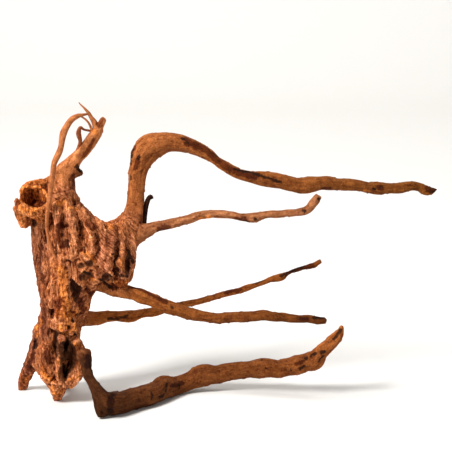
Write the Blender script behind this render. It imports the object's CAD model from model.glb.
# A Japanese driftwood root: a furrowed trunk with a hollow collar and a stub, and root arms that sweep right
import math
import time

import bpy
import numpy as np
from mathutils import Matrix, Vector


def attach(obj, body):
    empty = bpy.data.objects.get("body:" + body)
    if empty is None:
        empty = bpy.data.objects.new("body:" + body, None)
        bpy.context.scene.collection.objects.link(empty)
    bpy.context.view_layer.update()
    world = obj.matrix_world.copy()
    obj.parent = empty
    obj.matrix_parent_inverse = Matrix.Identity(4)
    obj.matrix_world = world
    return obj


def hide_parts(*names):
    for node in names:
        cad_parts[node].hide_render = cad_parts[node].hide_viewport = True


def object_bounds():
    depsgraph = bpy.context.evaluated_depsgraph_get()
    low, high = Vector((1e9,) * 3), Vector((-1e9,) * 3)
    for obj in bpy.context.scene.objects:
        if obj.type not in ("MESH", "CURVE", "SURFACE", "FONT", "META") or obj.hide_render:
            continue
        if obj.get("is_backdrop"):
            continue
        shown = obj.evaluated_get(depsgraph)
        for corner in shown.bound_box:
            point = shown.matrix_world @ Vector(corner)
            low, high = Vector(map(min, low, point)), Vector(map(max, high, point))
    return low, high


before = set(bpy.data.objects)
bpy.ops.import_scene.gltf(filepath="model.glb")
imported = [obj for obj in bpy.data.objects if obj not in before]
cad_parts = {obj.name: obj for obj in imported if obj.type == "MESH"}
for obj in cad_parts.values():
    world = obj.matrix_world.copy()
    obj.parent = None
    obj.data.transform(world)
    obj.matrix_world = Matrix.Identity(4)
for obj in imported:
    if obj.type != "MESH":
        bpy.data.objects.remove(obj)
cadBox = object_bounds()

mm = 0.001
clock = time.time()


def report(stage):
    print(f"{time.time() - clock:6.1f} s  {stage}")


# The shape of the wood, in millimetres. A limb is a line of points: across, depth, height, radius
wood = {
    "pathStep": 1.6,  # how far apart the rings of a limb are
    "ringPoints": 40,
    "flutes": ((3, 0.060, 0.4), (5, 0.045, 2.1), (8, 0.020, 4.0)),  # ribs: number, height, turn
    "twist": math.radians(0.55),  # turn of the grain for each mm
    "swell": 0.6,
    "fibreSwell": -0.3,
    "limbStep": 2.0,  # how far apart the points are that a limb's grain and tint are read from
    "softenRounds": 6,
    "coarseVoxel": 1.3,
    "fineVoxel": 1.0,
    "triangles": 192000,
    "trunk": {
        "heartwood": (
            (-173, 2, 211, 20), (-166, 0, 192, 29), (-163, 0, 172, 33), (-166, 0, 154, 33),
            (-171, 2, 133, 28), (-174, 4, 111, 24), (-177, 4, 88, 22), (-180, 4, 66, 21), (-183, 3, 44, 15),
            (-183, -3, 22, 10), (-183, -7, 5, 5),
        ),
        "leftRidge": (
            (-194, -5, 201, 13.5), (-192, -5, 183, 13.5), (-191, 0, 167, 13.5), (-191, 4, 146, 13.3),
            (-189, 5, 127, 13.2), (-186.5, 6, 108, 12), (-190, 8, 87, 11.5), (-197, 10, 70, 11),
            (-204, 14, 54, 9.5), (-211, 20, 37, 8), (-217.5, 26, 24, 6.8), (-223, 31, 12, 5.5),
            (-226, 34, -2, 4.4),
        ),
        "burl": (
            (-99, 2, 201, 12), (-108, -2, 187, 18), (-117, -4, 172, 22), (-120, -6, 159, 22.5),
            (-117, -8, 149, 20.5), (-113, -8, 140, 16), (-111, -8, 132, 9.5),
        ),
        "middle": (
            (-148, -12, 196, 15), (-142, -12, 180, 21), (-141, -14, 161, 21), (-144, -12, 146, 17),
            (-148, -4, 131, 12), (-153, 0, 115, 9), (-160, 5, 97, 9.5),
        ),
        "frontLedge": (
            (-184, -20, 221, 9.5), (-174, -20, 220, 10), (-163, -18, 208, 10), (-148, -14, 196.5, 10),
            (-132, -10, 190.5, 10), (-120, -6, 186.5, 10.5), (-108, -2, 191, 11.5),
        ),
        "backLedge": ((-165, 0, 217, 9.5), (-161, 2, 202, 10), (-149, 2, 188, 12), (-138, 0, 184, 11)),
        "backWood": (
            (-164, 24, 184, 19), (-156, 24, 170, 24), (-157, 22, 148, 25), (-168, 18, 124, 20),
            (-173.5, 16, 102, 17.5), (-177, 18, 73, 17), (-179, 26, 46, 13), (-178, 36, 23, 9),
            (-178, 43, -3, 5.5),
        ),
        "rump": ((-161, 6, 110, 10), (-161, 8, 98, 9), (-167.5, 8, 86, 8), (-168.5, 6, 70, 8)),
        "rightRoot": (
            (-166, -4, 79, 7.5), (-164, -6, 64, 8), (-160, -8, 50, 7.5), (-162, -10, 38, 7),
            (-170, -10, 27, 6.5), (-177, -9, 17, 5.5), (-181, -8, 6, 4.5),
        ),
        "leftRoot": (
            (-189, -10, 65, 13), (-191, -10, 48, 12), (-189, -10, 36, 10), (-186, -10, 24, 8),
            (-183, -9, 11, 5.5),
        ),
        "caveBack": ((-169, 6, 72, 9), (-168, 7, 52, 9), (-170, 6, 36, 8.5), (-174, 4, 22, 7)),
        "legWeb": ((-204, 10, 50, 8.5), (-204, 9, 39, 7.5), (-196, 0, 33, 8)),
        "collar": ((-195, 6, 203, 14.5), (-198, -12, 216, 16.5), (-200.5, -26, 227.5, 16.8)),
        "collarRim": (
            (-213, -23, 231, 4), (-211, -18, 235, 4.5), (-206.5, -12, 238.5, 4.5), (-199, -6, 239, 5),
            (-191, -2, 238, 6.5), (-183, 2, 236.5, 9),
        ),
        "neck": ((-192, -8, 201, 13.5), (-194, -8, 188, 12.5), (-191, -6, 174, 11.5)),
        "stub": (
            (-179, 4, 218, 16.3), (-175.5, 4, 233.5, 16.3), (-170, 2, 249.5, 11), (-162.5, 0, 260, 7.9),
            (-155.5, -2, 268, 6.6), (-147.5, -4, 277, 6.3), (-140, -6, 287.5, 6.2), (-135, -6, 295.5, 6),
            (-133, -7, 300, 4.2),
        ),
        "stubProng": (
            (-134, -7, 296, 4.6), (-130, -8, 304, 3.8), (-127.5, -8, 308.5, 3.1), (-126.5, -8, 311, 2),
        ),
        "stubKnob": ((-161, 2, 251.5, 6), (-155, 4, 249.5, 4), (-152, 5, 247, 2.2)),
    },
    "fibres": {
        "leftStrand": (
            (-189, -18, 178, 4), (-191, -16, 158, 5.5), (-192, -14, 138, 5.5), (-191, -14, 118, 6),
            (-191, -15, 98, 6), (-192, -17, 81, 6.5), (-191, -18, 65, 6.5), (-191, -17, 50, 6.5),
            (-191, -16, 37, 5.5),
        ),
        "rootStrand": (
            (-182, -30, 174, 3.5), (-180, -30, 160, 4), (-181, -27, 144, 4), (-182, -24, 127, 4),
            (-184, -21, 109, 3.5),
        ),
        "paleColumn": (
            (-171, -31, 168, 4), (-172, -30, 155, 5), (-172, -29, 141, 5.5), (-172, -27, 127, 6),
            (-173, -26, 112, 7), (-174, -25, 99, 7), (-174, -24, 86, 6.5),
        ),
        "fibreLeft": (
            (-179, -25, 229, 5), (-176, -30, 215, 5), (-176, -31, 199, 5), (-176, -31, 183, 4),
            (-174, -30, 168, 4),
        ),
        "fibreMiddle": (
            (-168, -25, 228, 5), (-162, -30, 214, 5.5), (-158, -33, 198, 5), (-158, -34, 181, 5),
            (-162, -33, 165, 4.5),
        ),
        "fibreRight": (
            (-156, -21, 217, 4.5), (-146, -29, 209, 5.5), (-140, -33, 193, 5), (-141, -34, 177, 5.5),
            (-146, -33, 165, 4),
        ),
        "fibreBurl": (
            (-143, -18, 206, 4.5), (-133, -25, 201, 6), (-128, -30, 186, 4.5), (-128, -32, 169, 4.5),
            (-131, -31, 156, 4),
        ),
        "burlFold": (
            (-121, -16, 199, 5.5), (-119, -27, 185, 4), (-120, -33, 171, 4), (-122, -33, 154, 4.5),
            (-120, -28, 139, 4),
        ),
        "burlMiddle": (
            (-109, -20, 183, 4), (-108, -27, 173, 4), (-111, -32, 162, 5), (-109, -28, 149, 4),
            (-114, -22, 134, 5.5),
        ),
        "burlRight": (
            (-102, -8, 173, 5), (-101, -12, 163, 5.5), (-101, -13, 151, 6), (-106, -14, 141, 5),
            (-110, -14, 132, 5),
        ),
        "ledgeFold": ((-179, -6, 233, 5.5), (-168, -10, 233, 5), (-161, -8, 227, 6), (-156, -6, 220, 4.5)),
        "leftNub": ((-184, -22, 97, 4.5), (-183, -22, 86, 5)),
        "rightNub": ((-167, -25, 101, 5.5), (-165, -23, 91, 6), (-164, -20, 80, 5)),
    },
    "rims": {
        "caveWall": (
            (-174, -26, 79, 4), (-176, -24, 70, 3.5), (-177, -22, 56, 3), (-178, -20, 42, 3),
            (-177, -19, 30, 3.5), (-172, -17, 23, 4.5),
        ),
        "caveRim": (
            (-162, -19, 74, 5), (-157, -14, 63, 5), (-155, -12, 51, 4.5), (-156, -12, 38, 4.5),
            (-161, -14, 29, 5), (-170, -17, 23, 5.5),
        ),
        "caveSeptum": ((-177, -14, 49, 3), (-172, -10, 54, 3), (-166, -8, 62, 3)),
        "frontLobe": ((-186, -17, 42, 6), (-193, -13, 33, 6.5), (-187, -14, 28, 7)),
        "toe": ((-181, -15, 27, 8), (-182, -12.5, 17, 6.8), (-182, -7, 9, 5.2), (-182.5, 0, -2, 3.2)),
        "toeRight": ((-171, -14, 27, 5.5), (-178, -12, 18, 5.5)),
        "collarLobe": ((-216, -28, 221.5, 6), (-212.5, -24, 210.5, 6.2), (-209.5, -18, 199, 6.8)),
        "collarLip": (
            (-216, -30, 228.5, 4), (-213, -35, 223, 4.5), (-207, -37, 218, 4.8), (-200, -36, 215.5, 4.2),
            (-193, -32, 216.5, 4),
        ),
    },
    "arms": {
        "topArm": (
            (-121, -2, 170, 15), (-114.5, -1, 178.5, 15), (-108, 0, 187, 14.8), (-101.5, 1, 196, 12.5),
            (-97.5, 2, 206.5, 10.2), (-96, 3, 217, 9.2), (-95.5, 3, 227, 8.2), (-94.5, 5, 237.5, 8.5),
            (-93.5, 6, 248, 9.4), (-91, 7, 258, 10.5), (-87.5, 8, 267.5, 12.8), (-81.5, 10, 275.5, 13.7),
            (-72, 11, 279, 12.3), (-61.5, 13, 281, 10), (-51, 14, 280, 9), (-40.5, 15, 277, 7.7),
            (-31, 16, 273, 6.8), (-21.5, 17, 268, 6.2), (-12.5, 17, 261.5, 4.9), (-4, 17, 255.5, 4.8),
            (5.5, 17, 250, 5.1), (15, 18, 245.5, 5), (25.5, 18, 242.5, 5.5), (36, 19, 241, 6.8),
            (47, 19, 239.5, 7.4), (57.5, 20, 238, 7.4), (68, 21, 235, 7.3), (78, 22, 232.5, 7.5),
            (89, 23, 233, 8.4), (99, 24, 234.5, 6.9), (110, 26, 234, 6.9), (121, 28, 232.5, 5.9),
            (131.5, 30, 231.5, 6.4), (142.5, 32, 230, 5.5), (153.5, 34, 227.5, 5.4), (164.5, 37, 226, 6.3),
            (175.5, 39, 225.5, 5.3), (186.5, 41, 225, 5.3), (197.5, 44, 227, 5), (208, 47, 226, 4.4),
            (218.5, 49, 221, 4.8), (229, 51, 222.5, 0.5),
        ),
        "upperArm": (
            (-103, -2, 181, 12), (-93.5, -4, 185.5, 9.5), (-84.5, -7, 189.5, 7.3), (-75.5, -10, 194, 5.4),
            (-66, -13, 197, 4.8), (-56.5, -15, 199.5, 4.7), (-47, -17, 202.5, 4.6),
            (-37.5, -20, 205.5, 4.5), (-28.5, -23, 209.5, 4.1), (-19, -25, 211, 4.1), (-10, -27, 212.5, 4),
            (-0.5, -29, 212, 3.7), (9, -31, 211.5, 3.1), (18.5, -33, 210, 3.6), (28, -35, 210, 5),
            (37, -38, 213, 3.8), (46, -39, 214.5, 3.5), (56, -41, 215, 3.4), (65, -43, 216.5, 3.4),
            (74.5, -45, 218, 3.4), (83.5, -47, 221, 3.8), (90, -49, 228.5, 4.1), (95.5, -50, 236.5, 3.3),
        ),
        "backArm": (
            (-170, 8, 88, 9.5), (-160, 13, 87.5, 8.2), (-149, 17, 86.5, 7.6), (-140.5, 19, 86, 7.1),
            (-130.5, 22, 87, 6.2), (-121, 25, 87, 5.3), (-111.5, 28, 85.5, 5.9), (-102, 31, 85, 6),
            (-93, 34, 87, 4.3), (-83, 36, 88, 4.6), (-74, 38, 89, 4.2), (-64, 41, 91, 3.8),
            (-55, 43, 92.5, 3.5), (-45.5, 44, 94.5, 3.2), (-35.5, 46, 96, 3.1), (-26, 48, 98, 3),
            (-16, 50, 100, 2.9), (-6.5, 52, 102.5, 3), (2.5, 53, 104.5, 3.1), (12, 54, 106.5, 3.1),
            (21.5, 56, 109, 3.4), (31.5, 58, 112, 2.5), (40.5, 59, 115, 2.4), (49.5, 61, 118.5, 2.8),
            (59, 62, 120.5, 3.8), (68.5, 64, 125, 1.9), (77.5, 65, 128, 1.9), (87, 66, 130.5, 2.1),
            (96.5, 67, 133, 2.6), (105.5, 68, 138, 2.2),
        ),
        "frontArm": (
            (-136, -4, 134, 9.5), (-127, -6, 130.5, 9), (-118.5, -9, 127, 8.2), (-109, -11, 124.5, 7.1),
            (-99.5, -14, 123.5, 6.3), (-90.5, -18, 121.5, 7.5), (-81.5, -20, 118.5, 6.7),
            (-72.5, -22, 115.5, 6.6), (-63.5, -25, 112, 6.6), (-54, -27, 109.5, 6.2), (-44.5, -30, 107, 6),
            (-36, -32, 105, 5.8), (-27, -34, 104, 5.3), (-17, -35, 102.5, 5.2), (-8, -37, 102, 5.1),
            (1.5, -38, 103.5, 5.1), (11, -40, 104, 5.2), (20.5, -42, 104.5, 5), (30, -44, 106, 5),
            (39.5, -45, 107.5, 5.3), (49, -47, 106, 4.6), (58, -48, 106, 4), (67.5, -50, 105.5, 4.1),
            (77, -52, 105.5, 3.5), (86, -53, 106, 3.5), (95.5, -55, 105, 3.5), (105, -56, 105, 2.2),
        ),
        "floorArm": (
            (-162, -4, 50, 6.7), (-153, -18, 56, 6), (-149, -29, 52, 5.6), (-146.5, -41, 46.5, 5),
            (-142.5, -48, 38, 4.7), (-137, -54, 31, 5.5), (-131.5, -58, 23.5, 8), (-126.5, -58, 16, 11.2),
            (-119, -52, 13.5, 11.6), (-110, -42, 11, 11.2), (-101.5, -34, 11, 10.7),
            (-92.5, -26, 10.5, 10.9), (-83.5, -18, 10, 11.3), (-75, -7, 10, 10.7), (-67, 6, 11, 11.9),
            (-57.5, 16, 9, 9.7), (-48, 22, 10, 8.9), (-39, 26, 12.5, 9.1), (-30.5, 28, 16, 10.8),
            (-20.5, 29, 18.5, 10.9), (-10.5, 29, 19, 9.4), (-1, 29, 21.5, 9.5), (9, 28, 23.5, 8.9),
            (18.5, 27, 25, 8.7), (28.5, 26, 26.5, 8.8), (38, 25, 27.5, 10.4), (48, 23, 28.5, 9.7),
            (58, 21, 27.5, 9.2), (67.5, 20, 30, 9.2), (77, 17, 33, 10.1), (86, 15, 36.5, 9.6),
            (96, 12, 40.5, 10.3), (102, 9, 49.5, 7.5), (109, 7, 57, 6.8), (116, 5, 64.5, 6.5),
            (122, 2, 73, 4.5), (124.5, 1, 83, 1.6),
        ),
        "floorArmTop": ((-149.5, -14, 59.5, 4.1), (-148.5, -22, 55, 4.6), (-147, -34, 48.5, 4.6)),
        "floorHeel": (
            (-133.5, -57, 25, 6.5), (-132, -59.5, 16, 6.3), (-131, -61.5, 8, 5.4), (-130, -62.5, 1.5, 3.6),
        ),
    },
    # rotted hollows: centre, half sizes, lean to the right in degrees
    "caves": {
        "baseCave": ((-168, -28, 53), (8.5, 20, 19), 5),
        "caveTop": ((-172, -22, 65), (5.5, 20, 9.5), 0),
        "caveFoot": ((-174, -22, 36), (5, 18, 8.5), 0),
        "sideCave": ((-181, -30, 67), (4, 14, 11.5), 0),
        "legHole": ((-206, -2, 62), (2.6, 14, 6.5), -8),
        "underCollar": ((-203, -22, 201), (4.5, 8, 6), 0),
        "yellowRecess": ((-146, -36, 145), (8.5, 9, 6.5), 10),
        "waistRecess": ((-158, -24, 128), (5, 8, 14), 6),
    },
    "pits": {
        "slit": ((-167, -43, 182), (3.2, 14, 7), 0),
        "dimple": ((-155, -43, 200), (2.4, 7, 3), 0),
        "bandLeft": ((-152, -42, 158), (5.5, 11, 4.5), 15),
        "bandRight": ((-143, -44, 160), (6, 13, 5), -15),
        "waistDark": ((-161, -27, 135), (3.5, 9, 8), 0),
        "burlLow": ((-125, -38, 143), (6.5, 14, 7.5), 25),
        "burlMiddle": ((-114, -38, 153), (4, 12, 3.5), 0),
        "burlSlot": ((-103.5, -26, 155), (2.8, 12, 11), -4),
        "burlTop": ((-114, -34, 174), (2.6, 9, 9.5), 8),
        "holeHigh": ((-162, -30, 97), (2.2, 12, 2.2), 0),
        "holeMiddle": ((-166, -30, 89), (1.7, 8, 2.5), 0),
        "holeRight": ((-159, -24, 80), (3, 10, 3), 0),
        "holeLeft": ((-180, -30, 82), (3.5, 9, 3), 0),
    },
    "boreSides": 32,
    "boreFlutes": ((2, 0.10, 0.8), (3, 0.07, 2.0), (5, 0.05, 1.0)),
    # the scoop in the collar
    "collarBore": (
        (-199, -50, 246, 15.5), (-200, -36, 237, 15), (-200, -26, 230, 13.3), (-200, -17, 223.5, 9.5),
        (-199, -10, 219, 4.5),
    ),
}

# How the weather has worn it, in millimetres
weather = {
    "lumpHeight": 1.8,
    "lumpSpacing": (14, 14, 22),
    "strandHeight": 1.3,
    "strandSpacing": (4.5, 4.5, 34),
    "furrowDepth": 2.3,
    "furrowSpacing": (8.5, 8.5, 44),
    "furrowSharpness": 4,
    "warp": 6,
    "warpSpacing": (18, 18, 26),
    "slant": (-176, -138, 0.75),  # the grain leans towards the arms: from, to, across per height
    "slantFoot": 150,
    "stubSmooth": (224, 240),  # the stub above the trunk is worn smooth: from, to up its height
    "stubWear": 0.9,
    "fibreDepth": 1.1,
    "fibreSpacing": (2.0, 2.0, 13),
    "fibreCrest": (0.5, 1.6),  # height at a crest, and how much of it the noise takes off beside it
    "crumbHeight": 0.9,
    "crumbSpacing": (3.4, 3.4, 4.6),
    "rottenHeight": 1.3,  # where the wood is rotten, it has no fibres left, only nodules
    "rottenSpacing": (5, 5, 5),
    "rottenCrest": (0.6, 1.5),
    "rottenFibreLoss": 0.7,
    "armRidge": 0.4,
    "armRidgeSpacing": (30, 3, 3),
    "armLump": 0.6,
    "armLumpSpacing": (11, 7, 7),
    "armPock": 0.75,
    "armPockSpacing": (7, 3.5, 3.5),
    "armFlake": 0.7,  # scraps of bark
    "armFlakeSpacing": (5, 2.6, 2.6),
    "sparse": 0.35,  # pocks and flakes are only where their noise is above this
    "sparseGain": 3,
    "armBegins": (0.3, 0.9),  # how smooth the wood is where the trunk's relief gives way to the arms'
}

# The thin roots, too fine to be grown together with the rest
thinRoots = {
    "pathStep": 0.8,
    "ringPoints": 20,
    "limbs": {
        "thinRoot": (
            (-178, -31, 161.5, 1.7), (-180, -33, 171.5, 1.7), (-183, -35, 181.5, 1.7),
            (-185, -36, 190.5, 1.7), (-186, -36, 200, 1.8), (-185.5, -37, 210, 2), (-184.5, -38, 219, 2.2),
            (-183, -38, 227, 2.3), (-181.5, -38, 238, 2.5), (-180.5, -37, 245.5, 2.6),
            (-179, -36, 254, 2.7), (-177.5, -34, 265.5, 2.9), (-175.5, -32, 271, 3.2),
            (-172, -31, 278, 3.3), (-170, -30, 284, 3), (-169, -29, 290.5, 3.3), (-167.5, -27, 297.5, 3.7),
            (-164, -25, 304.5, 3.3), (-159.5, -22, 310.5, 3.1), (-154, -18, 313.5, 2.6),
            (-149, -15, 314.5, 1.7), (-143.5, -10, 314.5, 1.1),
        ),
        "rootFork": (
            (-152.5, -16, 314, 1.2), (-148.5, -15, 312, 1), (-144.5, -14, 308.5, 1.1),
            (-142, -12, 304.5, 1.2), (-140, -10, 299, 1.4),
        ),
        "spike": (
            (-134.5, -8, 298.5, 4.2), (-137, -9, 306, 3), (-140, -10, 311, 2.2), (-142.5, -10, 315.5, 1.8),
            (-146.5, -11, 320.5, 1.2), (-150.5, -11, 324.5, 0.8), (-152.5, -11, 327, 0.5),
        ),
        "loop": (
            (-155.6, -3.2, 272.6, 2.8), (-153.6, -5.8, 279, 2.2), (-152, -8, 285.5, 2),
            (-153, -9, 291, 2.6), (-153.5, -9, 294.5, 2.7), (-152.5, -10, 298.5, 2.1),
            (-151, -10, 300.5, 1.6), (-147.5, -9, 298, 1.2), (-140.5, -8, 296.5, 1.3),
        ),
        "spur": (
            (-89, -1, 188, 4.2), (-86.5, 1, 205, 3.2), (-84.5, 2, 215, 2.8), (-82, 2, 222, 2.6),
            (-79.5, 2, 224.5, 2.2), (-78, 2, 222, 1.6),
        ),
    },
}

# Colours of the bare wood on each part, as sRGB hex
tints = {
    "trunk": "b0693e",
    "base": "8a4a28",
    "stub": "b06a3c",
    "collar": "b4642c",
    "topArm": "9c582c",
    "topArmEnd": "6e3c12",
    "upperArm": "885230",
    "backArm": "9c5624",
    "backArmEnd": "703810",
    "frontArm": "8a4c1e",
    "frontArmEnd": "502608",
    "floorArm": "241004",
    "floorArmEnd": "8e4e22",
    "burnt": "2a1206",
    "shade": "704230",
}

rottenPlaces = (  # balls of wood that has rotted to crumbs, in millimetres: across, depth, height, radius
    (-172, -30, 160, 9), (-172, -28, 140, 11), (-171, -26, 118, 13), (-168, -25, 98, 14),
    (-165, -22, 82, 10), (-183, -14, 22, 14), (-190, -14, 34, 11), (-166, -16, 24, 12), (-160, -8, 224, 10),
    (-170, -8, 232, 11), (-208, -34, 214, 9), (-196, -34, 214, 7), (-140, -32, 146, 12),
    (-118, -30, 142, 10), (-150, -34, 168, 8), (-222, 28, 14, 12), (-212, 20, 34, 10), (-206, -28, 236, 9),
    (-190, -22, 238, 9),
)

# Streaks of colour on the wood, chosen by eye: the radius in millimetres, then points as (across, down) in
# pixels of the photo. placeStreaks works out where they lie on the wood.
photoPixels = 452
streaks = {
    "char": (
        (2, (132.5, 150), (131, 158), (130.7, 163)), (1.7, (139.5, 154.5), (138.3, 158.5)),
        (1.3, (131, 176), (131, 179)), (1.8, (181.7, 138.3), (185, 140.3), (188.3, 142.5)),
        (1.6, (234, 168.5), (241, 171), (250, 172), (260, 176)),
        (1.7, (252, 173), (262, 176), (272, 179.6), (281, 182.6)), (1.2, (373, 188.5), (375, 189.5)),
        (1.4, (318.6, 198), (319.3, 200)), (1.5, (303, 210.5), (305, 211.5)), (1.3, (255, 219), (257, 220)),
        (2, (144, 216), (143.5, 221)), (1.5, (108, 318.5), (114, 319), (120, 318), (127, 315)),
        (1.3, (253.5, 283.2), (258, 282), (263, 280.5)), (1.6, (280, 276.6), (285, 273.6)),
        (1.5, (286, 272.4), (292, 270.4), (298, 268.3), (304, 266.5)),
        (1.3, (171.5, 306.5), (172.5, 307.5)), (2, (313.5, 318), (319, 317.5), (325, 318.5)),
        (1.1, (115.8, 392.5), (112.5, 398), (110.8, 403), (111.7, 410), (111, 413)),
        (1.8, (166.7, 383.5), (166.7, 385)), (1.2, (151.7, 392.5), (151.7, 399)),
        (1.1, (159, 397), (163, 397)), (1.5, (179, 385.5), (179, 388)),
        (1.1, (166.7, 385), (165, 391.7), (159, 398.3)), (1.1, (261.7, 358.5), (262, 360)),
        (1.2, (265.8, 367.5), (266.5, 368.5)), (1.4, (290, 369.5), (291, 370.5)),
        (2.2, (305, 357.5), (306.5, 358)), (1.6, (311, 356), (315, 353.5)),
        (1.8, (322, 352.5), (324, 351.5)), (2, (334.5, 338.5), (338, 334), (341, 330)),
        (1.6, (304, 366), (300, 369)), (1.4, (318, 361), (323, 356)),
        (1.2, (46, 201.2), (40, 206.5), (34, 212.5)), (1.4, (96.5, 124), (97, 123)),
        (2.4, (77, 166), (79, 169), (80, 171)), (1.2, (67.5, 239), (67.8, 244), (68, 249)),
        (1.6, (77.5, 229.3), (77.5, 230.3)), (1.6, (72.9, 321), (72.9, 322)),
        (1.2, (67.9, 326), (67.9, 329)), (1.5, (75, 334.5), (75, 335.5)), (2.2, (56.4, 333), (56.4, 336)),
        (1.6, (34.8, 341), (34.2, 346), (33.4, 350)), (2.2, (64, 343), (65.5, 347), (66, 350)),
        (1.6, (63.5, 371), (64.5, 377)), (1.5, (84, 272), (90, 274.5)),
        (1.5, (70.5, 280), (73, 286), (75, 290)), (2, (101, 279), (106, 283), (110, 286.5)),
        (1.8, (114, 274), (121, 276), (128, 277)), (2, (128.5, 251), (130, 256), (133, 262)),
        (1.6, (112, 254.5), (119, 256.5)), (1.4, (83, 247), (85, 252)), (1.3, (95, 233), (99, 240)),
    ),
    "brown": (
        (3.6, (186.7, 140.8), (195, 144.2), (203.3, 148.3), (211.7, 155), (220, 161.7), (228.3, 167.5),
         (236.7, 170.8), (246.7, 174.2), (256.7, 175.5)), (2, (134.5, 146.5), (134.5, 150)),
        (2.2, (137, 160), (136, 168)), (2.4, (144.3, 205), (143.5, 214)), (2.5, (323, 188.6), (329, 188.8)),
        (2.6, (379, 188), (381, 188.5)), (3, (428, 189), (436, 189.5)),
        (3, (113, 393), (110.5, 403), (111, 413)),
        (2.2, (134, 287.5), (142, 289.5), (150, 294), (158, 298), (166, 302)),
        (2, (300, 318.5), (306, 319)), (2.2, (172, 386), (182, 383)), (1.8, (296, 364), (303, 361)),
        (2.4, (287, 274), (300, 269), (312, 265.5)), (2.2, (226, 291.5), (240, 289.5)),
        (1.6, (94, 139), (89, 149), (83, 157)), (3, (72, 178), (74.5, 183)), (2.6, (101, 118), (100, 124)),
        (3, (58, 226), (57, 240)), (4, (122, 282), (114, 287)), (3, (88, 222), (94, 228)),
        (3.5, (79, 300), (83, 310)), (3, (87, 288), (92, 294)), (3.5, (60, 300), (56, 312)),
        (2.6, (18, 201), (16.5, 206)), (3.5, (41, 248), (40, 262), (42, 280)), (3, (160, 230), (168, 227)),
        (2.4, (236, 219), (246, 220)), (3.2, (34, 356), (28, 368)), (2.6, (88, 356), (88, 366)),
        (3, (47, 352), (49, 362)),
    ),
    "orange": (
        (3.8, (61, 269), (64, 275), (64, 282)), (2.2, (84, 252), (90, 256), (95, 261)),
        (2.6, (122, 259), (122.5, 267)), (3.2, (114, 283), (120, 283), (127, 284)),
        (2.6, (23, 198), (20, 204), (22, 210)), (2.4, (27, 210), (31, 211), (35, 209)),
        (4, (57, 312), (66, 316), (75, 313)), (3.6, (60, 328), (66, 333), (73, 328)),
        (2.6, (77, 320), (78, 334)), (3.2, (42, 370), (46, 376), (54, 381)),
        (2.6, (52, 388), (57, 395), (63, 390)), (1.6, (62, 379), (70, 379.5), (78, 377)),
        (1.6, (61.5, 341.5), (68, 342), (75, 343.5), (81, 346.5)), (3, (72, 300), (70, 306)),
        (3, (64, 288), (63, 297)), (2.6, (86, 277), (93, 280)), (2.4, (106, 222), (112, 228)),
        (2.4, (92, 130.5), (95, 133)), (1.6, (364.5, 190), (369, 190.5)), (2.2, (58, 204), (64, 201)),
        (2.2, (70, 207), (76, 209)), (3, (36, 324.5), (39, 330)),
        (4.2, (61, 270), (63, 290), (66, 308), (69, 326)), (3, (60, 362), (63, 368), (60, 374)),
        (3, (41, 322), (38, 334)), (2, (200, 219), (212, 217)), (2, (30, 375), (26, 381)),
    ),
    "pale": (
        (1.6, (66, 205), (72, 217), (83, 230), (94, 240)),
        (1.6, (98, 240), (102, 252), (105, 265), (111.7, 281.7)), (1.5, (84, 224), (90, 238), (92, 252)),
        (1.5, (52, 232), (53, 250), (56, 262)), (1.5, (112, 240), (118, 252), (121, 262)),
        (1.5, (74, 236), (76, 252), (79, 266)), (1.4, (45, 214), (46, 228), (47, 246)),
        (1.4, (60, 228), (62, 244), (64, 258)), (1.5, (132, 234), (136, 246), (136.5, 254)),
        (1.4, (44, 262), (47, 282), (50, 300)), (1.5, (100, 222), (108, 233), (112, 238)),
        (1.8, (80, 146), (76, 154), (70, 163)), (2, (62, 176), (60, 186), (62, 196)),
        (1.8, (88, 135), (84, 142)), (2, (150, 140), (158, 136.5), (168, 136)),
        (1.6, (206, 216), (222, 213), (236, 214.5)), (1.6, (170, 225), (182, 220), (194, 217)),
    ),
}

tintOf = {  # the tint at the start and the end of each limb that isn't plain trunk
    "stub": ("stub", "stub"),
    "stubProng": ("stub", "stub"),
    "stubKnob": ("base", "burnt"),
    "collar": ("collar", "collar"),
    "collarRim": ("collar", "collar"),
    "collarLobe": ("collar", "trunk"),
    "collarLip": ("stub", "stub"),
    "leftRidge": ("shade", "base"),
    "leftStrand": ("shade", "base"),
    "topArm": ("topArm", "topArmEnd"),
    "upperArm": ("upperArm", "upperArm"),
    "backArm": ("backArm", "backArmEnd"),
    "frontArm": ("frontArm", "frontArmEnd"),
    "floorArm": ("floorArm", "floorArmEnd"),
    "floorHeel": ("floorArm", "floorArm"),
    "floorArmTop": ("base", "floorArm"),
    "thinRoot": ("trunk", "stub"),
    "rootFork": ("stub", "stub"),
    "spike": ("stub", "stub"),
    "loop": ("base", "base"),
    "spur": ("burnt", "burnt"),
}


def linear(code):
    # sRGB hex to linear: a channel is (c + 0.055) / 1.055 to the power 2.4, or c / 12.92 near black
    c = np.array([int(code[i:i + 2], 16) for i in (0, 2, 4)]) / 255
    return np.where(c > 0.04045, ((c + 0.055) / 1.055) ** 2.4, c / 12.92)


def smoothstep(low, high, value):
    t = np.clip((value - low) / (high - low), 0, 1)
    return t * t * (3 - 2 * t)


def unit(vectors):
    return vectors / np.linalg.norm(vectors, axis=-1, keepdims=True)


# What is read off the grown wood for the material
marking = {
    "limbApart": 97,  # mm between the grain of one limb and the next, so that no two look alike
    "trunkApart": 400,
    "blend": 3,  # mm over which one limb's tint gives way to the next
    "chunk": 4000,  # points at a time, to save memory
    "fineRounds": 6,
    "broadRounds": 60,
    "grooveDepth": 0.5,
    "hollowDepth": 2.2,
}

noiseScale = 1.6  # brings the noise to about -1 to 1
gradients = unit(np.random.default_rng(7).normal(size=(256, 3)))
shuffle = np.random.default_rng(8).permutation(256)


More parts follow.
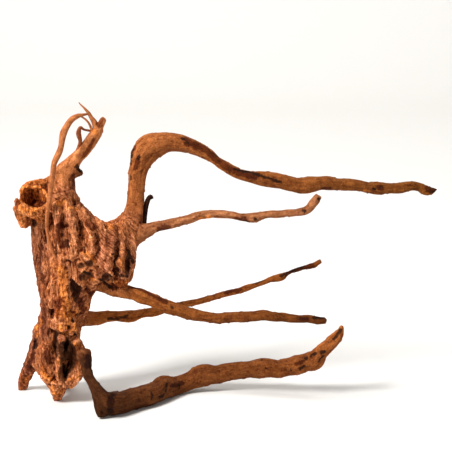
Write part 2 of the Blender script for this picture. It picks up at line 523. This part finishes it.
def noise(points, seed=0):
    # gradient noise: each corner of the unit cell holds a slope, and the slopes' heights are blended with
    # 6t^5 - 15t^4 + 10t^3
    cell = np.floor(points).astype(int)
    inside = points - cell
    blend = inside**3 * (inside * (inside * 6 - 15) + 10)
    total = np.zeros(len(points))
    for corner in np.ndindex(2, 2, 2):
        x, y, z = (cell + corner).T
        slope = gradients[shuffle[(shuffle[(shuffle[(x + seed) & 255] + y) & 255] + z) & 255]]
        height = ((inside - corner) * slope).sum(1)
        total += height * np.where(corner, blend, 1 - blend).prod(1)
    return total * noiseScale


def noiseVector(points):
    return np.stack([noise(points, seed) for seed in (11, 12, 13)], axis=1)


def smoothPath(points, step):
    # a cubic through the points, which leaves each one along the line between its neighbours
    p = np.array(points, float)
    lengths = np.linalg.norm(np.diff(p[:, :3], axis=0), axis=1)
    count = max(3, round(lengths.sum() / step) + 1)
    place = np.interp(np.linspace(0, lengths.sum(), count), np.append(0, lengths.cumsum()), np.arange(len(p)))
    start = np.minimum(place.astype(int), len(p) - 2)
    t = (place - start)[:, None]
    p = np.vstack([p[:1], p, p[-1:]])
    a, b, c, d = (p[start + k] for k in range(4))
    return 0.5 * (2 * b + (c - a) * t + (2 * a - 5 * b + 4 * c - d) * t**2 + (3 * b - a - 3 * c + d) * t**3)


def limbFrame(path):
    # forward runs along the path, side is square to it and to the depth axis, and out is square to both
    forward = unit(np.gradient(path[:, :3], axis=0))
    side = unit(np.cross(forward, (0, 1, 0)))
    out = np.cross(side, forward)
    travelled = np.append(0, np.linalg.norm(np.diff(path[:, :3], axis=0), axis=1).cumsum())
    return side, out, travelled


def sweepLimb(path, ringPoints, flutes=(), twist=0.0, swell=0.0):
    # point(s, angle) = path(s) + radius(s) * (1 + ribs(angle + twist * s))
    # * (side * cos(angle) + out * sin(angle))
    side, out, travelled = limbFrame(path)
    angle = np.linspace(0, 2 * math.pi, ringPoints, endpoint=False)
    turned = angle + twist * travelled[:, None]
    ribs = 1 + sum(height * np.cos(lobes * turned + turn) for lobes, height, turn in flutes)
    radius = (path[:, 3] + swell)[:, None] * ribs
    spoke = side[:, None] * np.cos(angle)[:, None] + out[:, None] * np.sin(angle)[:, None]
    rings = path[:, None, :3] + radius[..., None] * spoke
    points = np.vstack([rings.reshape(-1, 3), path[0, :3], path[-1, :3]])
    row, column = np.mgrid[0:len(path) - 1, 0:ringPoints]
    a, b = row * ringPoints + column, row * ringPoints + (column + 1) % ringPoints
    quads = np.stack([a, a + ringPoints, b + ringPoints, b], axis=-1).reshape(-1, 4)
    first, after = np.arange(ringPoints), (np.arange(ringPoints) + 1) % ringPoints
    last = len(points) - 2 - ringPoints
    startCap = np.stack([np.full(ringPoints, len(points) - 2), first, after], axis=1)
    endCap = np.stack([np.full(ringPoints, len(points) - 1), last + after, last + first], axis=1)
    return points, quads.tolist() + startCap.tolist() + endCap.tolist()


def makeObject(name, parts):
    points, faces, offset = [], [], 0
    for partPoints, partFaces in parts:
        points.append(partPoints)
        faces += [[index + offset for index in face] for face in partFaces]
        offset += len(partPoints)
    mesh = bpy.data.meshes.new(name)
    mesh.from_pydata(np.vstack(points) * mm, [], faces)
    obj = bpy.data.objects.new(name, mesh)
    bpy.context.collection.objects.link(obj)
    return obj


def growLimbs(table, swell):
    parts = []
    for points in table.values():
        path = smoothPath(points, wood["pathStep"])
        parts.append(sweepLimb(path, wood["ringPoints"], wood["flutes"], wood["twist"], swell))
    return parts


def applyModifiers(obj):
    graph = bpy.context.evaluated_depsgraph_get()
    mesh = bpy.data.meshes.new_from_object(obj.evaluated_get(graph))
    obj.modifiers.clear()
    obj.data = mesh


def fuse(obj, voxel):
    # one skin round everything that overlaps
    remesh = obj.modifiers.new("fuse", "REMESH")
    remesh.mode = "VOXEL"
    remesh.voxel_size = voxel * mm
    applyModifiers(obj)


def egg(centre, halfSizes, lean):
    # point(u, v) = centre + lean about the depth axis * (half sizes * a sphere's point at turn u and tilt v),
    # with the half sizes up to a third larger or smaller after soft noise
    sides, rows, steepest = 32, 17, 1.5
    turns = np.linspace(0, 2 * math.pi, sides, endpoint=False)
    turn, tilt = np.meshgrid(turns, np.linspace(-steepest, steepest, rows))
    ball = np.stack([np.cos(tilt) * np.cos(turn), np.cos(tilt) * np.sin(turn), np.sin(tilt)], axis=-1)
    c, s = math.cos(math.radians(lean)), math.sin(math.radians(lean))
    spin = np.array([[c, 0, s], [0, 1, 0], [-s, 0, c]])
    uneven = 1 + 0.3 * noise((2.2 * ball + np.array(centre)).reshape(-1, 3), 41).reshape(rows, sides, 1)
    rings = np.array(centre) + (uneven * ball * halfSizes) @ spin.T
    points = rings.reshape(-1, 3)
    row, column = np.mgrid[0:rows - 1, 0:sides]
    a, b = row * sides + column, row * sides + (column + 1) % sides
    quads = np.stack([a, b, b + sides, a + sides], axis=-1).reshape(-1, 4).tolist()
    bottom, top = list(range(sides - 1, -1, -1)), list(range((rows - 1) * sides, rows * sides))
    return points, quads + [bottom, top]


def carve(obj, cutters):
    # takes away each cutter in turn
    for number, part in enumerate(cutters):
        cutter = makeObject(f"cutter{number}", [part])
        boolean = obj.modifiers.new(cutter.name, "BOOLEAN")
        boolean.operation = "DIFFERENCE"
        boolean.solver = "MANIFOLD"
        boolean.object = cutter
    made = [modifier.object for modifier in obj.modifiers]
    applyModifiers(obj)
    for cutter in made:
        bpy.data.objects.remove(cutter)


def readPoints(obj):
    points = np.empty(len(obj.data.vertices) * 3)
    obj.data.vertices.foreach_get("co", points)
    return points.reshape(-1, 3) / mm


def readNormals(obj):
    normals = np.empty(len(obj.data.vertices) * 3)
    obj.data.vertex_normals.foreach_get("vector", normals)
    return normals.reshape(-1, 3)


def writePoints(obj, points):
    obj.data.vertices.foreach_set("co", (points * mm).ravel())
    obj.data.update()


def averaged(obj, points, rounds):
    # each round moves a point half way to the mean of its neighbours
    edges = np.empty(len(obj.data.edges) * 2, int)
    obj.data.edges.foreach_get("vertices", edges)
    here, there = np.concatenate([edges.reshape(-1, 2), edges.reshape(-1, 2)[:, ::-1]]).T
    degree = np.maximum(np.bincount(here, minlength=len(points)), 1)[:, None]
    for _ in range(rounds):
        total = np.stack([np.bincount(here, points[there, k], len(points)) for k in range(3)], axis=1)
        points = 0.5 * points + 0.5 * total / degree
    return points


def trunkGrain(points):
    # upright fibres, bent by soft noise, which slant over towards the arms in the upper right of the trunk
    low, high, slope = weather["slant"]
    grain = points + weather["warp"] * noiseVector(points / weather["warpSpacing"])
    above = np.maximum(0, points[:, 2] - weather["slantFoot"])
    grain[:, 0] += slope * smoothstep(low, high, points[:, 0]) * above
    return grain


def weatherTrunk(obj):
    # height = lumps + strands along the grain - furrow depth * (1 - sharpness * |noise along the grain|),
    # where that is above 0
    points, normals = readPoints(obj), readNormals(obj)
    grain = trunkGrain(points)
    lump = noise(points / weather["lumpSpacing"], 3)
    strand = noise(grain / weather["strandSpacing"], 4)
    line = np.abs(noise(grain / weather["furrowSpacing"]))
    furrow = np.maximum(0, 1 - weather["furrowSharpness"] * line)
    wear = 1 - weather["stubWear"] * smoothstep(*weather["stubSmooth"], points[:, 2])
    height = weather["lumpHeight"] * lump + weather["strandHeight"] * strand
    height -= weather["furrowDepth"] * furrow
    writePoints(obj, points + normals * (wear * height)[:, None])


def mapLimbs(limbs, smooth):
    # the middle lines of the limbs as one table: place, radius, frame, length along, how smooth, tint
    rows = []
    for number, (name, points) in enumerate(limbs.items()):
        path = smoothPath(points, wood["limbStep"])
        side, out, travelled = limbFrame(path)
        start, end = (linear(tints[key]) for key in tintOf.get(name, ("trunk", "trunk")))
        share = (travelled / travelled[-1])[:, None]
        grown = np.full((len(path), 1), float(name in smooth))
        if name == "stub":
            grown = smoothstep(*weather["stubSmooth"], path[:, 2:3])
        along = travelled[:, None] + marking["limbApart"] * number
        rows.append(np.hstack([path, side, out, along, grown, start + (end - start) * share]))
    return np.vstack(rows)


def readLimbs(points, limbMap):
    # for each point: how much of it is smooth limb and its tint, both as means weighted by exp(-gap / blend),
    # and its place in the nearest limb
    middle, radius = limbMap[:, :3], limbMap[:, 3]
    smooth, tint, grain = np.empty(len(points)), np.empty((len(points), 3)), np.empty((len(points), 3))
    for begin in range(0, len(points), marking["chunk"]):
        here = slice(begin, begin + marking["chunk"])
        some = points[here]
        squared = (some**2).sum(1)[:, None] + (middle**2).sum(1) - 2 * some @ middle.T
        gap = np.sqrt(np.maximum(squared, 0)) - radius
        weight = np.exp(-(gap - gap.min(1, keepdims=True)) / marking["blend"])
        weight /= weight.sum(1, keepdims=True)
        smooth[here] = weight @ limbMap[:, 11]
        tint[here] = weight @ limbMap[:, 12:15]
        near = limbMap[gap.argmin(1)]
        offset = some - near[:, :3]
        across, outward = (offset * near[:, 4:7]).sum(1), (offset * near[:, 7:10]).sum(1)
        grain[here] = np.stack([near[:, 10], across, outward], axis=1)
    return smooth, tint, grain


def nearness(points, marks):
    # 1 inside any of the balls, fading to 0 at 1.6 times its radius
    strength = np.zeros(len(points))
    for x, y, z, radius in marks:
        reach = np.linalg.norm(points - (x, y, z), axis=1) / radius
        strength = np.maximum(strength, smoothstep(1.6, 0.8, reach))
    return strength


def weatherAll(obj, limbMap):
    # fine relief: fibres and crumbs on the trunk, nodules where it is rotten, and along the arms ridges,
    # lumps, flakes and pocks. A crest's height is high - fall * |noise|.
    points, normals = readPoints(obj), readNormals(obj)
    smooth, _, limbGrain = readLimbs(points, limbMap)
    grain = trunkGrain(points)
    rotten = nearness(points, rottenPlaces)
    high, fall = weather["fibreCrest"]
    fibre = high - fall * np.abs(noise(grain / weather["fibreSpacing"], 5))
    crumb = noise(points / weather["crumbSpacing"], 6)
    high, fall = weather["rottenCrest"]
    nodule = high - fall * np.abs(noise(points / weather["rottenSpacing"], 7))
    trunkHeight = weather["fibreDepth"] * fibre * (1 - weather["rottenFibreLoss"] * rotten)
    trunkHeight += weather["crumbHeight"] * crumb + weather["rottenHeight"] * nodule * rotten
    ridge = noise(limbGrain / weather["armRidgeSpacing"], 21)
    lump = noise(limbGrain / weather["armLumpSpacing"], 22)
    pock = np.maximum(0, noise(limbGrain / weather["armPockSpacing"], 23) - weather["sparse"])
    flake = np.maximum(0, noise(limbGrain / weather["armFlakeSpacing"], 24) - weather["sparse"])
    armHeight = weather["armRidge"] * ridge + weather["armLump"] * lump
    armHeight += weather["sparseGain"] * (weather["armFlake"] * flake - weather["armPock"] * pock)
    height = trunkHeight + (armHeight - trunkHeight) * smoothstep(*weather["armBegins"], smooth)
    writePoints(obj, points + normals * height[:, None])


def thinOut(obj, triangles):
    obj.data.calc_loop_triangles()
    decimate = obj.modifiers.new("thinOut", "DECIMATE")
    decimate.ratio = min(1.0, triangles / len(obj.data.loop_triangles))
    decimate.use_collapse_triangulate = True
    applyModifiers(obj)


def keepInside(obj):
    # the wood ends at the floor and at the sides of the CAD box
    lowest, highest = (np.array(corner) / mm for corner in cadBox)
    writePoints(obj, np.clip(readPoints(obj), lowest, highest))


def placeStreaks(body):
    # each point of a streak lies where its line of sight first meets the wood, and is left out where the
    # line passes the wood by. The direction is
    # forward * distance + right * (across - middle) * pixel + up * (middle - down) * pixel
    tilt = math.radians(studio["cameraElevation"])
    forward, up = Vector((0, math.cos(tilt), -math.sin(tilt))), Vector((0, math.sin(tilt), math.cos(tilt)))
    distance, middle = studio["cameraDistance"], photoPixels / 2
    pixel = studio["halfView"] / middle
    camera = Vector(studio["aim"]) - distance * forward
    graph = bpy.context.evaluated_depsgraph_get()
    placed = {name: [] for name in streaks}
    for name, lines in streaks.items():
        for radius, *spots in lines:
            line = []
            for across, down in spots:
                sideways = Vector(((across - middle) * pixel, 0, 0))
                sight = distance * forward + sideways + (middle - down) * pixel * up
                met, place, _, _ = body.ray_cast(camera, sight.normalized(), depsgraph=graph)
                if met:
                    line.append((*(place / mm), radius))
            if len(line) > 1:
                placed[name].append(line)
    return placed


def streakStrength(points, lines):
    # 1 on a streak, fading to 0 at 1.6 times its radius, which soft noise makes wider and narrower
    strength = np.zeros(len(points))
    ragged = 1 + 0.7 * noise(points / 3.5, 31)
    for line in lines:
        path = smoothPath(line, 0.8)
        reach = 4 * path[:, 3].max()
        inBox = (points > path[:, :3].min(0) - reach) & (points < path[:, :3].max(0) + reach)
        near = np.flatnonzero(inBox.all(1))
        gap = (np.linalg.norm(points[near, None] - path[:, :3], axis=2) / path[:, 3]).min(1)
        strength[near] = np.maximum(strength[near], smoothstep(1.6, 0.7, gap / ragged[near]))
    return strength


def rotStrength(points):
    # how deep a point lies in a rotted hollow: 0 at its mouth, 1 from 10 mm in
    strength = np.zeros(len(points))
    for centre, halfSizes, lean in {**wood["caves"], **wood["pits"]}.values():
        reach = np.linalg.norm((points - centre) / halfSizes, axis=1)
        front = centre[1] - 0.75 * halfSizes[1]
        deep = smoothstep(front, front + 10, points[:, 1])
        strength = np.maximum(strength, smoothstep(1.25, 1.0, reach) * deep)
    return strength


def addAttribute(obj, name, kind, values):
    attribute = obj.data.attributes.new(name, kind, "POINT")
    field = "value" if kind == "FLOAT" else "vector"
    attribute.data.foreach_set(field, np.ascontiguousarray(values, np.float32).ravel())


def addWoodAttributes(obj, limbMap, placed):
    points, normals = readPoints(obj), readNormals(obj)
    smooth, tint, limbGrain = readLimbs(points, limbMap)
    upright = trunkGrain(points)[:, [2, 0, 1]] + marking["trunkApart"]
    grain = np.where(smooth[:, None] > 0.5, limbGrain, upright)
    fine = ((averaged(obj, points, marking["fineRounds"]) - points) * normals).sum(1)
    broad = ((averaged(obj, points, marking["broadRounds"]) - points) * normals).sum(1)
    addAttribute(obj, "grain", "FLOAT_VECTOR", grain)
    addAttribute(obj, "tint", "FLOAT_VECTOR", tint)
    addAttribute(obj, "smooth", "FLOAT", smooth)
    addAttribute(obj, "hollow", "FLOAT", np.clip(broad / marking["hollowDepth"], -1, 1))
    addAttribute(obj, "groove", "FLOAT", np.clip(fine / marking["grooveDepth"], -1, 1))
    for name, lines in placed.items():
        addAttribute(obj, name, "FLOAT", streakStrength(points, lines))
    addAttribute(obj, "rot", "FLOAT", rotStrength(points))


def joinInto(obj, other):
    # both meshes as one, with the other object gone
    points = [readPoints(obj), readPoints(other)]
    faces = []
    for part, offset in ((obj, 0), (other, len(points[0]))):
        faces += [[index + offset for index in polygon.vertices] for polygon in part.data.polygons]
    obj.data.clear_geometry()
    obj.data.from_pydata(np.vstack(points) * mm, [], faces)
    bpy.data.objects.remove(other)


def growRoot():
    limbs = {**wood["trunk"], **wood["fibres"], **wood["rims"], **wood["arms"]}
    limbMap = mapLimbs(limbs, [*wood["arms"], "stubProng"])
    parts = growLimbs(wood["trunk"], wood["swell"]) + growLimbs(wood["fibres"], wood["fibreSwell"])
    root = makeObject("driftwoodBody", parts)
    fuse(root, wood["coarseVoxel"])
    report("trunk fused")
    weatherTrunk(root)
    fuse(root, wood["coarseVoxel"])
    carve(root, [egg(*shape) for shape in wood["caves"].values()])
    report("caves carved")
    joinInto(root, makeObject("rest", growLimbs({**wood["rims"], **wood["arms"]}, wood["swell"])))
    fuse(root, wood["fineVoxel"])
    bore = sweepLimb(smoothPath(wood["collarBore"], wood["limbStep"]), wood["boreSides"], wood["boreFlutes"])
    carve(root, [egg(*shape) for shape in wood["pits"].values()] + [bore])
    fuse(root, wood["fineVoxel"])
    report("arms joined and pits carved")
    writePoints(root, averaged(root, readPoints(root), wood["softenRounds"]))
    weatherAll(root, limbMap)
    thinOut(root, wood["triangles"])
    keepInside(root)
    report(f"root thinned to {len(root.data.polygons)} triangles")
    placed = placeStreaks(root)
    addWoodAttributes(root, limbMap, placed)
    report("root marked")
    return root, placed


def growThinRoots(placed):
    parts = []
    for points in thinRoots["limbs"].values():
        path = smoothPath(points, thinRoots["pathStep"])
        parts.append(sweepLimb(path, thinRoots["ringPoints"]))
    roots = makeObject("driftwoodThinRoots", parts)
    keepInside(roots)
    addWoodAttributes(roots, mapLimbs(thinRoots["limbs"], thinRoots["limbs"]), placed)
    report("thin roots made")
    return roots


def addNode(tree, kind, settings, sockets):
    # settings are the node's own, and a socket, by name or number, takes a value or another node's output
    node = tree.nodes.new("ShaderNode" + kind)
    for name, value in settings.items():
        setattr(node, name, value)
    for name, value in sockets.items():
        if isinstance(value, bpy.types.NodeSocket):
            tree.links.new(value, node.inputs[name])
        else:
            node.inputs[name].default_value = value
    return node


def colour(code):
    return (*linear(code), 1)


# What colours the wood: patterns of noise, as (along or around the grain, sizes in mm, detail, roughness),
# then layers of colour over each limb's own tint, from the first to the last
rootLook = {
    "ragged": (1.5, -0.75),  # how much of the mottle is added to the edges of the streaks and the rot
    "bumpStrength": 0.8,
    "bumpDistance": 0.0014,  # metres
    "fibreRange": (0.3, 0.7),
    "roughness": (0.9, 0.75),  # at both ends of that range
    "specular": 0.08,
    "patterns": {
        "fibre": ("grain", (18, 1.2, 1.2), 5, 0.62),
        "strand": ("grain", (42, 4.5, 4.5), 4, 0.55),
        "mottle": ("grain", (7, 3.2, 3.2), 5, 0.65),
        "patch": ("place", (24, 24, 24), 4, 0.6),
        "blotch": ("place", (8, 8, 8), 5, 0.65),
        "crumb": ("place", (1.5, 1.5, 1.5), 4, 0.7),
    },
    # what drives it, where it begins and is full, its most, where it is, blending, colour
    "layers": (
        ("patch", 0.50, 0.64, 0.70, "trunk", "MULTIPLY", "d4c8d8"),
        ("patch", 0.50, 0.36, 0.60, "trunk", "MULTIPLY", "ffe4b8"),
        ("orange", 0.10, 1.10, 0.80, "both", "MIX", "c8702e"),
        ("pale", 0.15, 1.00, 0.45, "both", "DIVIDE", "c0b8b0"),
        ("strand", 0.54, 0.34, 0.80, "trunk", "MULTIPLY", "a89080"),
        ("strand", 0.52, 0.70, 0.70, "trunk", "DIVIDE", "dcd2c8"),
        ("blotch", 0.50, 0.32, 0.60, "both", "MULTIPLY", "a88a76"),
        ("blotch", 0.54, 0.70, 0.50, "both", "DIVIDE", "d8d8d8"),
        ("fibre", 0.52, 0.32, 0.85, "trunk", "MULTIPLY", "9c8072"),
        ("fibre", 0.50, 0.70, 0.80, "trunk", "DIVIDE", "ccc0b4"),
        ("fibre", 0.52, 0.32, 0.60, "limb", "MULTIPLY", "ac8e78"),
        ("mottle", 0.50, 0.32, 0.38, "limb", "MULTIPLY", "a88c78"),
        ("mottle", 0.54, 0.74, 0.35, "limb", "DIVIDE", "ccc4bc"),
        ("crumb", 0.50, 0.36, 0.75, "trunk", "MULTIPLY", "98867a"),
        ("crumb", 0.52, 0.68, 0.80, "trunk", "DIVIDE", "ccc2b4"),
        ("crumb", 0.50, 0.36, 0.50, "limb", "MULTIPLY", "a49080"),
        ("crumb", 0.52, 0.68, 0.55, "limb", "DIVIDE", "d4ccc0"),
        ("groove", -0.20, -1.00, 0.55, "both", "DIVIDE", "c8beb4"),
        ("groove", 0.05, 0.90, 0.80, "both", "MULTIPLY", "a87e60"),
        ("hollow", 0.15, 1.00, 0.85, "both", "MULTIPLY", "8c664e"),
        ("hollow", -0.30, -1.00, 0.30, "trunk", "DIVIDE", "ccc4bc"),
        ("brown", 0.05, 0.75, 0.90, "both", "MULTIPLY", "90705c"),
        ("rot", 0.15, 0.95, 0.85, "both", "MIX", "2e1307"),
        ("char", 0.30, 0.95, 0.90, "both", "MIX", "1c0d06"),
    ),
}


def weatheredRootWood():
    # Old root wood, dried and sandblasted: the soft wood between the fibres is worn away, so the fibres stand
    # up, pale where they are rubbed and dark in the furrows, with rot in the deepest holes. Open pores leave
    # no shine.
    material = bpy.data.materials.new("sandblasted root wood")
    material.use_nodes = True
    tree = material.node_tree
    tree.nodes.clear()
    spaces = {
        "grain": addNode(tree, "Attribute", {"attribute_name": "grain"}, {}).outputs["Vector"],
        "place": addNode(tree, "TexCoord", {}, {}).outputs["Object"],
    }
    drivers = {}
    for name in ("hollow", "groove", "rot", *streaks):
        drivers[name] = addNode(tree, "Attribute", {"attribute_name": name}, {}).outputs["Fac"]
    for name, (space, sizes, detail, roughness) in rootLook["patterns"].items():
        scale = tuple((1000 if space == "place" else 1) / size for size in sizes)
        stretched = addNode(tree, "VectorMath", {"operation": "MULTIPLY"}, {0: spaces[space], 1: scale})
        settings = {"Vector": stretched.outputs[0], "Scale": 1, "Detail": detail, "Roughness": roughness}
        drivers[name] = addNode(tree, "TexNoise", {}, settings).outputs["Fac"]
    # the streaks and the rot end in ragged edges
    share, shift = rootLook["ragged"]
    edge = {0: drivers["mottle"], 1: share, 2: shift}
    ragged = addNode(tree, "Math", {"operation": "MULTIPLY_ADD"}, edge).outputs[0]
    for name in ("rot", *streaks):
        drivers[name] = addNode(tree, "Math", {"operation": "ADD"}, {0: drivers[name], 1: ragged}).outputs[0]
    limb = addNode(tree, "Attribute", {"attribute_name": "smooth"}, {}).outputs["Fac"]
    trunk = addNode(tree, "Math", {"operation": "SUBTRACT"}, {0: 1, 1: limb}).outputs[0]
    extent = {"trunk": trunk, "limb": limb, "both": 1}
    base = addNode(tree, "Attribute", {"attribute_name": "tint"}, {}).outputs["Vector"]
    for driver, begin, full, most, where, blending, tone in rootLook["layers"]:
        strength = addNode(tree, "MapRange", {"interpolation_type": "SMOOTHSTEP"}, {
            "Value": drivers[driver], "From Min": begin, "From Max": full, "To Max": most}).outputs["Result"]
        amount = addNode(tree, "Math", {"operation": "MULTIPLY"}, {0: strength, 1: extent[where]}).outputs[0]
        base = addNode(tree, "Mix", {"data_type": "RGBA", "blend_type": blending}, {
            0: amount, 6: base, 7: colour(tone)}).outputs[2]

    relief = {0: drivers["fibre"], 1: trunk, 2: drivers["crumb"]}
    fine = addNode(tree, "Math", {"operation": "MULTIPLY_ADD"}, relief).outputs[0]
    height = addNode(tree, "Math", {"operation": "ADD"}, {0: fine, 1: drivers["mottle"]}).outputs[0]
    bump = addNode(tree, "Bump", {}, {
        "Strength": rootLook["bumpStrength"], "Distance": rootLook["bumpDistance"], "Height": height})
    (low, high), (worn, rubbed) = rootLook["fibreRange"], rootLook["roughness"]
    rough = addNode(tree, "MapRange", {}, {
        "Value": drivers["fibre"], "From Min": low, "From Max": high, "To Min": worn, "To Max": rubbed})
    shader = addNode(tree, "BsdfPrincipled", {}, {
        "Base Color": base, "Roughness": rough.outputs["Result"], "IOR": 1.5,
        "Specular IOR Level": rootLook["specular"], "Normal": bump.outputs["Normal"]})
    addNode(tree, "OutputMaterial", {}, {"Surface": shader.outputs["BSDF"]})
    return material


studio = {
    "floorTone": "e2e0dc",
    "worldStrength": 0.27,
    "keyPlace": (-1.5, -1.2, 1.9),  # metres, like all of this dictionary
    "keySize": 0.8,
    "keyPower": 107,
    "fillPlace": (1.8, -1.4, 1.0),
    "fillSize": 1.2,
    "fillPower": 7,
    "wallPlace": (0, 1.0, 2.6),
    "wallSize": 2.5,
    "wallPower": 45,
    "wallAim": (0, 2.6, 0.6),
    "aim": (0, 0, 0.193),
    "cameraDistance": 1.797,
    "cameraElevation": 13,  # degrees above the horizon
    "halfView": 0.23956,  # half the width of the picture at the aim
}


def layFloor():
    # point(u, v): flat up to the bend, then a quarter circle of 0.6 m up into a wall
    u, v = np.meshgrid(np.linspace(-4, 4, 9), np.linspace(0, 1, 41))
    bend = np.clip((v - 0.5) / 0.3, 0, 1) * math.pi / 2
    y = -3 + np.minimum(v / 0.5, 1) * 5 + 0.6 * np.sin(bend)
    z = 0.6 * (1 - np.cos(bend)) + np.clip((v - 0.8) / 0.2, 0, 1) * 3
    points = np.stack([u, y, z], axis=-1).reshape(-1, 3)
    row, column = np.mgrid[0:40, 0:8]
    a = row * 9 + column
    mesh = bpy.data.meshes.new("paperFloor")
    mesh.from_pydata(points, [], np.stack([a, a + 1, a + 10, a + 9], axis=-1).reshape(-1, 4).tolist())
    mesh.shade_smooth()
    floor = bpy.data.objects.new("paperFloor", mesh)
    bpy.context.collection.objects.link(floor)
    paper = bpy.data.materials.new("matt white paper")
    paper.use_nodes = True
    shader = paper.node_tree.nodes["Principled BSDF"]
    shader.inputs["Base Color"].default_value = colour(studio["floorTone"])
    shader.inputs["Roughness"].default_value = 0.9
    floor.data.materials.append(paper)
    return floor


def addLight(name, place, size, power, aim):
    light = bpy.data.lights.new(name, "AREA")
    light.energy = power
    light.size = size
    lamp = bpy.data.objects.new(name, light)
    lamp.location = place
    lamp.rotation_euler = (Vector(aim) - Vector(place)).to_track_quat("-Z", "Y").to_euler()
    bpy.context.collection.objects.link(lamp)


def addCamera():
    lens = bpy.data.cameras.new("camera")
    lens.sensor_width = 36
    lens.lens = 18 * studio["cameraDistance"] / studio["halfView"]
    camera = bpy.data.objects.new("camera", lens)
    tilt = math.radians(studio["cameraElevation"])
    x, y, z = studio["aim"]
    distance = studio["cameraDistance"]
    camera.location = (x, y - math.cos(tilt) * distance, z + math.sin(tilt) * distance)
    camera.rotation_euler = (math.pi / 2 - tilt, 0, 0)
    bpy.context.collection.objects.link(camera)
    bpy.context.scene.camera = camera


def lightWorld():
    world = bpy.data.worlds.new("studio")
    world.use_nodes = True
    world.node_tree.nodes["Background"].inputs["Color"].default_value = (1, 1, 1, 1)
    world.node_tree.nodes["Background"].inputs["Strength"].default_value = studio["worldStrength"]
    bpy.context.scene.world = world
    bpy.context.scene.view_settings.view_transform = "Standard"


rootWood = weatheredRootWood()
body, placedStreaks = growRoot()
for piece in (body, growThinRoots(placedStreaks)):
    piece.data.shade_smooth()
    piece.data.materials.clear()
    piece.data.materials.append(rootWood)
    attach(piece, "root")
    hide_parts("driftwood_root")

layFloor()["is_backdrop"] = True
addLight("keyLight", studio["keyPlace"], studio["keySize"], studio["keyPower"], studio["aim"])
addLight("fillLight", studio["fillPlace"], studio["fillSize"], studio["fillPower"], studio["aim"])
addLight("wallLight", studio["wallPlace"], studio["wallSize"], studio["wallPower"], studio["wallAim"])
addCamera()
lightWorld()
report("floor, lights and camera set")

boxes = {"cad": [list(corner) for corner in cadBox], "visual": [list(corner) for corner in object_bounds()]}
report(f"box {boxes}")
